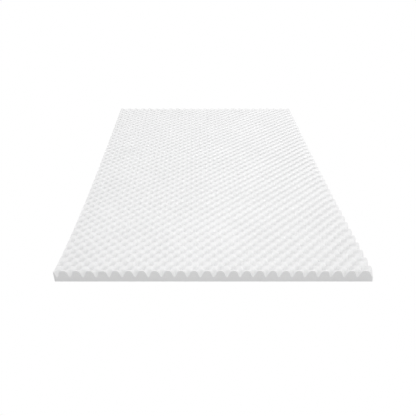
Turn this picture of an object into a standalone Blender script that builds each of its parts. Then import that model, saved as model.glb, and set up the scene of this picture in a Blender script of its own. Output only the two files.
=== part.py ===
"""Mattress topper: one flat sheet of convoluted ("egg crate") foam, its upper face a field of staggered bumps.

Metres, +Z up. The origin is at the centre of the flat underside, +X runs across the bed and +Y from the front
cut edge to the back one. The two cut edges and the two long sides are the sheet's own foam, with no cover.
"""
import math

import bmesh
import bpy

# Outer size of the sheet, with the bumps' tips as its thickness.
WIDTH = 1.372
LENGTH = 2.032
THICKNESS = 0.060

# Height of the hollows between the bumps above the underside. The bumps are broad domes and the hollows narrow:
# the depth below the tips follows this power of the wave.
HOLLOW_HEIGHT = 0.025
HOLLOW_POWER = 2.4

# Bump pitches across and along the sheet. The rows are staggered by half a pitch, so the front edge cuts through
# the tips of one row and the back edge through those of the other.
PITCHES_ACROSS = 24.5
PITCHES_ALONG = 37.5

# How far each long side is drawn in between its corners, from the foam's own slack. The left side's deepest point
# is nearer the front edge: the power of its place along the sheet moves it there.
LEFT_BOW = 0.0165
LEFT_BOW_POWER = 0.6
RIGHT_BOW = 0.009

# The rows are wider apart near the front edge than near the back one: how far the middle row lies behind the
# sheet's middle.
ROW_DRIFT = 0.027

# The right side is cut on a slant, just outside the last column of tips: how far it leans in at full thickness.
RIGHT_LEAN = 0.007

FOAM_COLOUR = (0.86, 0.86, 0.86, 1.0)
FOAM_ROUGHNESS = 0.95

PITCH_X = WIDTH / PITCHES_ACROSS
PITCH_Y = LENGTH / PITCHES_ALONG

# The half pitches that fit whole across the sheet. What is left is the strip beside the left side.
STEPS_ACROSS = 2 * math.floor(PITCHES_ACROSS)
STEPS_ALONG = round(2 * PITCHES_ALONG)
INNER_HALF_WIDTH = STEPS_ACROSS * PITCH_X / 4


def foam_height(x, y):
    """Height of the bumpy face above the underside, from the two staggered rows of bumps."""
    across = math.cos(2 * math.pi * x / PITCH_X)
    along = math.cos(2 * math.pi * (y + LENGTH / 2) / PITCH_Y)
    hollow = (1 + across * along) / 2
    return THICKNESS - (THICKNESS - HOLLOW_HEIGHT) * hollow ** HOLLOW_POWER


def as_laid(x, y):
    """Place on the bed of a point of the even sheet: rows drifted backwards, long sides bowed inwards."""
    drifted = y + ROW_DRIFT * (1 - (y / (LENGTH / 2)) ** 2)
    along = min(max(drifted / LENGTH + 0.5, 0), 1)
    if x < 0:
        drawn_in = LEFT_BOW * math.sin(math.pi * along ** LEFT_BOW_POWER)
    else:
        drawn_in = RIGHT_BOW * math.sin(math.pi * along)
    return x * (1 - drawn_in / (WIDTH / 2)), drifted


def add_left_strip(bm):
    """Widens the grid to the left side, which is cut midway between a column of tips and one of hollows."""
    border = [edge for edge in bm.edges if all(vert.co.x < PITCH_X / 8 - INNER_HALF_WIDTH for vert in edge.verts)]
    strip = bmesh.ops.extrude_edge_only(bm, edges=border)["geom"]
    for vert in strip:
        if isinstance(vert, bmesh.types.BMVert):
            vert.co.x = -WIDTH / 2


def slant_right_side(bm):
    """Moves the outermost column of tips and hollows, and the foot below them, on to the slanted cut."""
    side = {vert for vert in bm.verts if vert.co.x > INNER_HALF_WIDTH - PITCH_X / 8}
    for vert in side:
        vert.co.x = WIDTH / 2 - RIGHT_LEAN * vert.co.z / THICKNESS
    wall = [face for face in bm.faces if all(vert in side for vert in face.verts)]
    bmesh.ops.triangulate(bm, faces=wall)


def bumpy_face():
    """The upper face, with a point on each tip and each hollow and each square split from tip to tip."""
    bm = bmesh.new()
    bmesh.ops.create_grid(bm, x_segments=STEPS_ACROSS, y_segments=STEPS_ALONG, size=0.5)
    bmesh.ops.scale(bm, vec=(2 * INNER_HALF_WIDTH, LENGTH, 1), verts=bm.verts)
    add_left_strip(bm)
    for vert in bm.verts:
        vert.co.z = foam_height(vert.co.x, vert.co.y)
    for face in list(bm.faces):
        a, b, c, d = face.verts
        if a.co.z + c.co.z > b.co.z + d.co.z:
            bmesh.utils.face_split(face, a, c)
        else:
            bmesh.utils.face_split(face, b, d)
    return bm


def close_underneath(bm):
    """Cuts the edges straight down to the underside and closes it."""
    rim = [edge for edge in bm.edges if edge.is_boundary]
    walls = bmesh.ops.extrude_edge_only(bm, edges=rim)["geom"]
    for vert in walls:
        if isinstance(vert, bmesh.types.BMVert):
            vert.co.z = 0
    foot = [edge for edge in walls if isinstance(edge, bmesh.types.BMEdge) and edge.is_boundary]
    bmesh.ops.edgeloop_fill(bm, edges=foot)
    bmesh.ops.recalc_face_normals(bm, faces=bm.faces)


def foam_material():
    material = bpy.data.materials.new("foam")
    material.use_nodes = True
    shader = material.node_tree.nodes["Principled BSDF"]
    shader.inputs["Base Color"].default_value = FOAM_COLOUR
    shader.inputs["Roughness"].default_value = FOAM_ROUGHNESS
    shader.inputs["Metallic"].default_value = 0.0
    return material


def foam_sheet():
    """The whole topper as one solid."""
    bm = bumpy_face()
    close_underneath(bm)
    slant_right_side(bm)
    for vert in bm.verts:
        vert.co.x, vert.co.y = as_laid(vert.co.x, vert.co.y)
    mesh = bpy.data.meshes.new("foam_sheet")
    bm.to_mesh(mesh)
    bm.free()
    mesh.materials.append(foam_material())
    sheet = bpy.data.objects.new("foam_sheet", mesh)
    bpy.context.scene.collection.objects.link(sheet)
    return sheet


def main():
    for old in list(bpy.data.objects):
        bpy.data.objects.remove(old, do_unlink=True)
    foam_sheet()


main()
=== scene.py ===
"""Looks of the mattress topper: one sheet of white convoluted foam, bumps up, on a pale studio floor.

Metres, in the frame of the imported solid: +X across the sheet, +Y from its front cut edge to the back one and +Z
up, with the origin at the middle of the flat underside.
"""
import math

import bmesh
import bpy
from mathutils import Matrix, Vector, noise


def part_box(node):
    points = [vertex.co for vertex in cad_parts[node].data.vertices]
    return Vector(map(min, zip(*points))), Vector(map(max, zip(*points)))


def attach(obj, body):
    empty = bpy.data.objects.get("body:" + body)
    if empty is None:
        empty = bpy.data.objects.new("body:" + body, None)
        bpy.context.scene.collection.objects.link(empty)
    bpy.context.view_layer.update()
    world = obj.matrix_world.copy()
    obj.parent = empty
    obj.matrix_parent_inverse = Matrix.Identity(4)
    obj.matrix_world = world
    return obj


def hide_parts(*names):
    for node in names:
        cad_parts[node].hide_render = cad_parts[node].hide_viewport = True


SHEET_NODE = "foam_sheet"

# The bumps, as in the solid: pitches across and along, and the height of the hollows above the underside.
PITCHES_ACROSS = 24.5
PITCHES_ALONG = 37.5
HOLLOW_HEIGHT = 0.025
HOLLOW_POWER = 2.4

# How far each long side is drawn in between its corners, with the left one's deepest point nearer the front,
# how far the middle row lies behind the sheet's middle, and how far the right side's cut leans in.
LEFT_BOW = 0.0165
LEFT_BOW_POWER = 0.6
RIGHT_BOW = 0.009
ROW_DRIFT = 0.027
RIGHT_LEAN = 0.007

# Pitches from the last column of tips to the right side.
LAST_STRIP = 0.25

# Mesh points for each pitch, which put a point on every tip, and rows of faces down the cut walls.
POINTS_ACROSS = 12
POINTS_ALONG = 8
WALL_ROWS = 5

# How far the lowest bumps fall short of the highest, how far the rows wander, and the slack of the sheet. The
# seed makes the rows wander the same way each time.
BUMP_DROP = 0.0015
ROW_WANDER = 0.0022
WANDER_LENGTH = 0.16
WANDER_SEED = 1
SLACK_DEPTH = 0.0012
SLACK_LENGTH = 0.35

# The foam: about its mean tone, what blotches, clumps of cells, pores and knife lines each change of that, and
# its faint tint, roughness and gloss.
FOAM_TONE = 0.90
BLOTCH_TONE = 0.06
CLUMP_TONE = 0.05
PORE_TONE = 0.03
KNIFE_TONE = 0.03
FOAM_BLUENESS = 1.003
FOAM_ROUGHNESS = 0.95
FOAM_SPECULAR = 0.2

# How many pores, clumps and blotches there are to a metre, and the knife lines, which run up and down.
PORES_PER_METRE = 620.0
CLUMPS_PER_METRE = 170.0
BLOTCHES_PER_METRE = 5.0
KNIFE_LINES_PER_METRE = (260.0, 260.0, 14.0)

# The share of each in the fine relief, and the relief's strength and depth.
PORE_RELIEF = 0.55
CLUMP_RELIEF = 0.45
KNIFE_RELIEF = 0.35
RELIEF_STRENGTH = 0.35
RELIEF_DEPTH = 0.0012

# The camera, solved from the sheet's corners, sides and bumps in the photograph.
PHOTO_SIZE = 416
FOCAL_PIXELS = 445.7
VANISHING_COLUMN = 196.1
CAMERA_DROP = math.radians(32.01)
CAMERA_PLACE = (-0.0758, -2.4816, 1.2910)
SENSOR_WIDTH = 36.0

# The floor reaches out from the sheet's foot to this many times the sheet's own length and width.
FLOOR_REACH = 40.0
FLOOR_TONE = 0.50

# Studio light: an even dome, white at the horizon and below it, and the softboxes. Each of these is aimed at
# a spot, from a heading round +Z (0 is +X) and a rise above the floor, in degrees, and lights a cone of twice
# its half angle.
DOME_STRENGTH = 0.81
WHITE_STRENGTH = 1.0
HORIZON_BLEND = 0.15
BACK_OF_SHEET = (0.0, 1.2, 0.0)
FRONT_OF_SHEET = (0.0, -1.0, 0.0)
SOFTBOXES = {
    "back_key": {"aim": BACK_OF_SHEET, "heading": 330, "rise": 27, "distance": 8.0,
                 "half_angle": 17, "radius": 1.4, "power": 770.0},
    "low_key": {"aim": BACK_OF_SHEET, "heading": 350, "rise": 20, "distance": 8.0,
                "half_angle": 15, "radius": 1.0, "power": 190.0},
    "front_top": {"aim": FRONT_OF_SHEET, "heading": 270, "rise": 89, "distance": 2.0,
                  "half_angle": 45, "radius": 1.0, "power": 34.0},
}


class Value:
    """A shader socket that Python's operators turn into Math nodes."""

    def __init__(self, shader, socket):
        self.shader = shader
        self.socket = socket

    def maths(self, operation, first, second):
        return self.shader.node("ShaderNodeMath", {"operation": operation}, {0: first, 1: second})

    def __add__(self, other):
        return self.maths("ADD", self, other)

    def __sub__(self, other):
        return self.maths("SUBTRACT", self, other)

    def __mul__(self, other):
        return self.maths("MULTIPLY", self, other)

    __radd__ = __add__
    __rmul__ = __mul__


class Shader:
    """The node tree of a material or of the world, with one method that makes any node."""

    def __init__(self, owner):
        owner.use_nodes = True
        self.tree = owner.node_tree
        self.tree.nodes.clear()

    def node(self, kind, settings=None, sockets=None, output=0):
        made = self.tree.nodes.new(kind)
        for name, setting in (settings or {}).items():
            setattr(made, name, setting)
        for name, value in (sockets or {}).items():
            if isinstance(value, Value):
                self.tree.links.new(value.socket, made.inputs[name])
            else:
                made.inputs[name].default_value = value
        return Value(self, made.outputs[output]) if made.outputs else None


def foam_finish():
    """White open-cell foam: small pores all over, soft blotches, and faint knife lines on the cut walls."""
    material = bpy.data.materials.new("white_foam")
    shader = Shader(material)
    place = shader.node("ShaderNodeTexCoord", output="Object")
    cut = shader.node("ShaderNodeAttribute", {"attribute_name": "cut_wall"}, output="Fac")

    pores = shader.node("ShaderNodeTexVoronoi", {"feature": "F1"}, {
        "Vector": place, "Scale": PORES_PER_METRE}, "Distance")
    clumps = shader.node("ShaderNodeTexNoise", None, {
        "Vector": place, "Scale": CLUMPS_PER_METRE, "Detail": 3.0})
    blotches = shader.node("ShaderNodeTexNoise", None, {
        "Vector": place, "Scale": BLOTCHES_PER_METRE, "Detail": 2.0})
    drawn = shader.node("ShaderNodeMapping", None, {"Vector": place, "Scale": KNIFE_LINES_PER_METRE})
    knife = shader.node("ShaderNodeTexNoise", None, {"Vector": drawn, "Scale": 1.0, "Detail": 2.0})

    darkest = FOAM_TONE - (BLOTCH_TONE + CLUMP_TONE + PORE_TONE) / 2
    tone = darkest + BLOTCH_TONE * blotches + CLUMP_TONE * clumps + PORE_TONE * pores
    tone = tone - KNIFE_TONE * cut * knife
    colour = shader.node("ShaderNodeCombineColor", None, {
        "Red": tone, "Green": tone, "Blue": tone * FOAM_BLUENESS})
    relief = PORE_RELIEF * pores + CLUMP_RELIEF * clumps + KNIFE_RELIEF * cut * knife
    normal = shader.node("ShaderNodeBump", None, {
        "Strength": RELIEF_STRENGTH, "Distance": RELIEF_DEPTH, "Height": relief})
    surface = shader.node("ShaderNodeBsdfPrincipled", None, {
        "Base Color": colour, "Roughness": FOAM_ROUGHNESS,
        "Specular IOR Level": FOAM_SPECULAR, "Normal": normal})
    shader.node("ShaderNodeOutputMaterial", None, {"Surface": surface})
    return material


def floor_finish():
    """Plain pale grey."""
    material = bpy.data.materials.new("pale_floor")
    shader = Shader(material)
    surface = shader.node("ShaderNodeBsdfDiffuse", None, {"Color": (FLOOR_TONE, FLOOR_TONE, FLOOR_TONE, 1.0)})
    shader.node("ShaderNodeOutputMaterial", None, {"Surface": surface})
    return material


class Foam:
    """The foam sheet's form, from the solid's box."""

    def __init__(self, low, high):
        self.width = high.x - low.x
        self.length = high.y - low.y
        self.pitch_x = self.width / PITCHES_ACROSS
        self.pitch_y = self.length / PITCHES_ALONG
        self.thickness = high.z
        self.last_tips = self.width / 2 - LAST_STRIP * self.pitch_x

    def height(self, x, y):
        """Height over the underside: two staggered waves, with each bump its own size."""
        spot = Vector((x, y, 0))
        wander = noise.noise_vector(spot / WANDER_LENGTH) * ROW_WANDER
        across = (x + wander.x) / self.pitch_x
        along = (y + wander.y + self.length / 2) / self.pitch_y
        rising = across + along
        falling = across - along
        wave = -(math.cos(2 * math.pi * rising) + math.cos(2 * math.pi * falling)) / 2
        chance = (1 + noise.cell(Vector((math.floor(rising), math.floor(falling), 0)))) / 2
        slack = (noise.noise(spot / SLACK_LENGTH) - 1) * SLACK_DEPTH
        depth = (self.thickness - HOLLOW_HEIGHT) * ((1 - wave) / 2) ** HOLLOW_POWER
        lowered = BUMP_DROP * chance * max(wave, 0)
        return self.thickness - depth - lowered + slack

    def slant_out(self, x, z):
        """How far a point near the right side moves out to that side's cut, which slants out to its foot."""
        near = (x - self.last_tips) / (self.pitch_x / 2) + 1
        cut = self.width / 2 - RIGHT_LEAN * z / self.thickness
        return min(max(near, 0), 1) * (cut - self.last_tips)

    def as_laid(self, x, y):
        """Place on the bed of a point of the even sheet: rows drifted backwards, long sides bowed inwards."""
        drifted = y + ROW_DRIFT * (1 - (y / (self.length / 2)) ** 2)
        along = min(max(drifted / self.length + 0.5, 0), 1)
        if x < 0:
            drawn_in = LEFT_BOW * math.sin(math.pi * along ** LEFT_BOW_POWER)
        else:
            drawn_in = RIGHT_BOW * math.sin(math.pi * along)
        return x * (1 - drawn_in / (self.width / 2)), drifted


def cut_edges(bm, cut_wall):
    """Takes the sheet's rim straight down to the underside, which is then closed."""
    crest = bm.verts.layers.float.new("crest")
    loop = [edge for edge in bm.edges if edge.is_boundary]
    for vert in bm.verts:
        vert[crest] = vert.co.z
    for edge in loop:
        edge.smooth = False
    for row in range(1, WALL_ROWS + 1):
        made = bmesh.ops.extrude_edge_only(bm, edges=loop)["geom"]
        loop = [item for item in made if isinstance(item, bmesh.types.BMEdge) and item.is_boundary]
        for item in made:
            if isinstance(item, bmesh.types.BMVert):
                item.co.z = item[crest] * (1 - row / WALL_ROWS)
                item[cut_wall] = 1.0
    bmesh.ops.edgeloop_fill(bm, edges=loop)
    for edge in loop:
        edge.smooth = False


def even_grid(bm, foam):
    """A flat grid from the left side to the last column of tips."""
    bmesh.ops.create_grid(bm, x_segments=round((PITCHES_ACROSS - LAST_STRIP) * POINTS_ACROSS),
                          y_segments=round(PITCHES_ALONG * POINTS_ALONG), size=0.5)
    bmesh.ops.scale(bm, vec=(foam.width / 2 + foam.last_tips, foam.length, 1), verts=bm.verts)
    bmesh.ops.translate(bm, vec=((foam.last_tips - foam.width / 2) / 2, 0, 0), verts=bm.verts)


def finished(name, bm, material):
    """The object of a finished bmesh, at the origin."""
    mesh = bpy.data.meshes.new(name)
    bm.to_mesh(mesh)
    bm.free()
    mesh.materials.append(material)
    piece = bpy.data.objects.new(name, mesh)
    bpy.context.scene.collection.objects.link(piece)
    return piece


def foam_sheet():
    """The whole sheet as one closed mesh: bumpy top, cut walls and flat underside."""
    low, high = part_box(SHEET_NODE)
    foam = Foam(Vector(low), Vector(high))
    bm = bmesh.new()
    cut_wall = bm.verts.layers.float.new("cut_wall")
    even_grid(bm, foam)
    for vert in bm.verts:
        vert.co.z = foam.height(vert.co.x, vert.co.y)
    cut_edges(bm, cut_wall)
    for vert in bm.verts:
        vert.co.x += foam.slant_out(vert.co.x, vert.co.z)
        vert.co.x, vert.co.y = foam.as_laid(vert.co.x, vert.co.y)
    bmesh.ops.recalc_face_normals(bm, faces=bm.faces)
    for face in bm.faces:
        face.smooth = len(face.verts) == 4
    return finished("convoluted_foam", bm, foam_finish())


def studio_floor(sheet):
    """A pale floor all round the sheet's foot, open under the sheet so that a view from below is lit."""
    bm = bmesh.new()
    bm.from_mesh(sheet.data)
    bmesh.ops.delete(bm, geom=[vert for vert in bm.verts if vert.co.z > 0], context="VERTS")
    foot = list(bm.edges)
    bmesh.ops.delete(bm, geom=list(bm.faces), context="FACES_ONLY")
    spread = bmesh.ops.extrude_edge_only(bm, edges=foot)["geom"]
    outer = [item for item in spread if isinstance(item, bmesh.types.BMVert)]
    bmesh.ops.scale(bm, vec=(FLOOR_REACH, FLOOR_REACH, 1), verts=outer)
    bmesh.ops.recalc_face_normals(bm, faces=bm.faces)
    floor = finished("studio_floor", bm, floor_finish())
    floor.visible_camera = False


def softbox(name, aim, heading, rise, distance, half_angle, radius, power):
    """A round soft lamp at a distance from the spot that it is aimed at."""
    lamp = bpy.data.lights.new(name, "SPOT")
    lamp.energy = power
    lamp.shadow_soft_size = radius
    lamp.spot_size = math.radians(2 * half_angle)
    lamp.spot_blend = 1.0
    box = bpy.data.objects.new(name, lamp)
    turn = math.radians(heading)
    lift = math.radians(rise)
    away = Vector((math.cos(turn) * math.cos(lift), math.sin(turn) * math.cos(lift), math.sin(lift)))
    box.location = Vector(aim) + distance * away
    box.rotation_euler = away.to_track_quat("Z", "Y").to_euler()
    bpy.context.scene.collection.objects.link(box)


def studio_light():
    """The dome and the softboxes."""
    world = bpy.data.worlds.new("studio")
    shader = Shader(world)
    direction = shader.node("ShaderNodeTexCoord", output="Generated")
    rise = shader.node("ShaderNodeSeparateXYZ", None, {"Vector": direction}, "Z")
    strength = shader.node("ShaderNodeMapRange", None, {
        "Value": rise, "From Min": 0.0, "From Max": HORIZON_BLEND,
        "To Min": WHITE_STRENGTH, "To Max": DOME_STRENGTH})
    dome = shader.node("ShaderNodeBackground", None, {"Color": (1.0, 1.0, 1.0, 1.0), "Strength": strength})
    shader.node("ShaderNodeOutputWorld", None, {"Surface": dome})
    bpy.context.scene.world = world
    for name, values in SOFTBOXES.items():
        softbox(name, **values)
    bpy.context.scene.view_settings.view_transform = "Standard"


def photo_camera():
    """The photograph's camera, level across, with its shift along the picture's width."""
    data = bpy.data.cameras.new("photo_camera")
    data.sensor_width = SENSOR_WIDTH
    data.lens = FOCAL_PIXELS / PHOTO_SIZE * SENSOR_WIDTH
    data.shift_x = (PHOTO_SIZE / 2 - VANISHING_COLUMN) / PHOTO_SIZE
    eye = bpy.data.objects.new("photo_camera", data)
    eye.location = CAMERA_PLACE
    eye.rotation_euler = (math.pi / 2 - CAMERA_DROP, 0, 0)
    bpy.context.scene.collection.objects.link(eye)
    bpy.context.scene.camera = eye


noise.seed_set(WANDER_SEED)
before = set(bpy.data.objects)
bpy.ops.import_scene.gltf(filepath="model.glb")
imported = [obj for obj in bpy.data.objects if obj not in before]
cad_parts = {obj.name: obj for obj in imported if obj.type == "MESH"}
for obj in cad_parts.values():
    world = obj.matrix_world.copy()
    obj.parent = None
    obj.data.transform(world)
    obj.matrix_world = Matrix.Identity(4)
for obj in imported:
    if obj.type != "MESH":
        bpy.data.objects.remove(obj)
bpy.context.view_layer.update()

topper = foam_sheet()
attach(topper, "root")
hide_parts(SHEET_NODE)

studio_floor(topper)
studio_light()
photo_camera()
